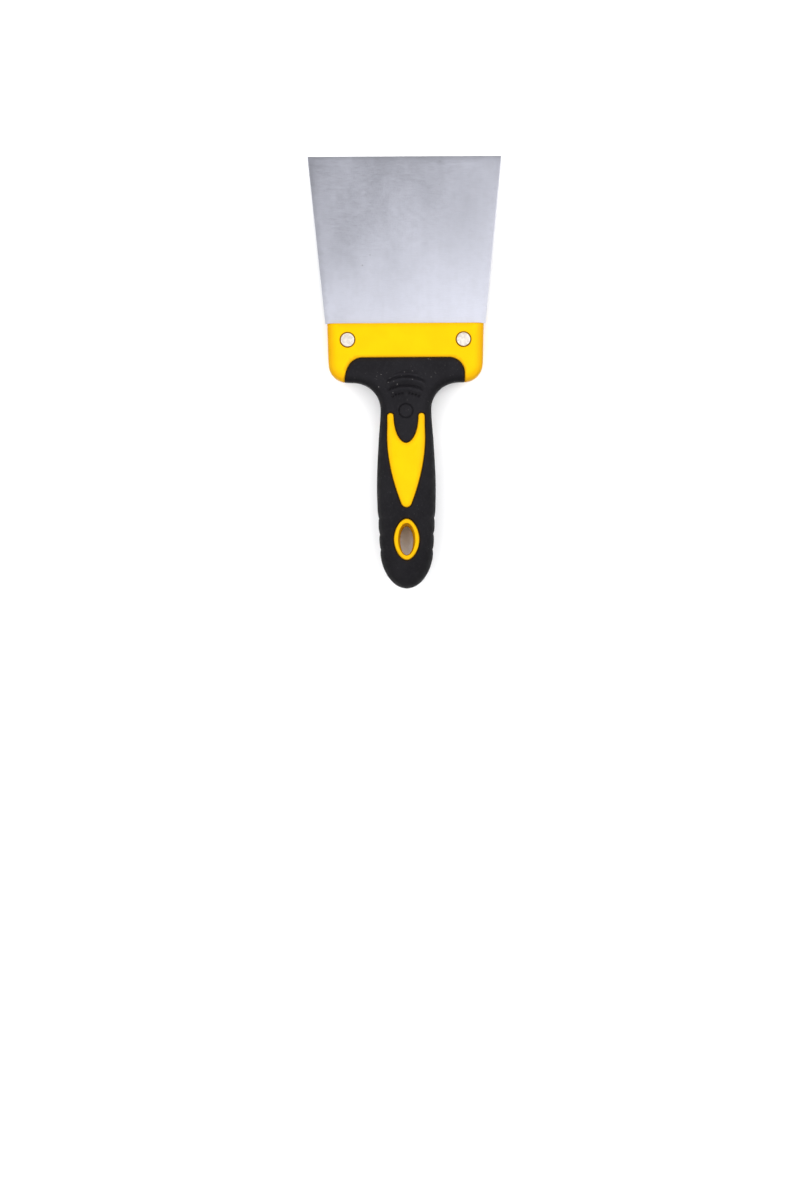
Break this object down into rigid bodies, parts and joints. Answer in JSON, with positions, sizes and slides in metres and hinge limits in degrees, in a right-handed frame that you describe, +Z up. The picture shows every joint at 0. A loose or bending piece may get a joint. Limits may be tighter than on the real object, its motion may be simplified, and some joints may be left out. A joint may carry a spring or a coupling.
{
  "type": "joint knife",
  "caption": "Wide putty or joint knife: a flared flat steel blade riveted into a plastic head, on a rubber-gripped handle with a hang hole.",
  "frame": {"origin": "bottom centre of the bounding box: the table under the middle of the tool, which lies on its back", "axes": "+Y along the tool towards the cutting edge, +X to the right seen from the front, +Z up out of the front face; the tool leans 3.91 degrees about X so that its edge and its belly both rest on the table"},
  "size_m": [0.1, 0.2228, 0.0256],
  "materials": {
    "blade_steel": "satin ground sheet steel, fine grain across the blade",
    "core_yellow": "moulded polypropylene, slightly glossy",
    "grip_black": "matt fine-textured thermoplastic rubber",
    "rivet_steel": "bright nickel-plated steel",
    "washer_steel": "dull zinc-plated steel"
  },
  "bodies": {
    "root": {"blade": "blade_steel", "handle_core": "core_yellow", "soft_grip": "grip_black", "rivet_left": "rivet_steel", "rivet_right": "rivet_steel", "washer_left": "washer_steel", "washer_right": "washer_steel"}
  },
  "joints": []
}
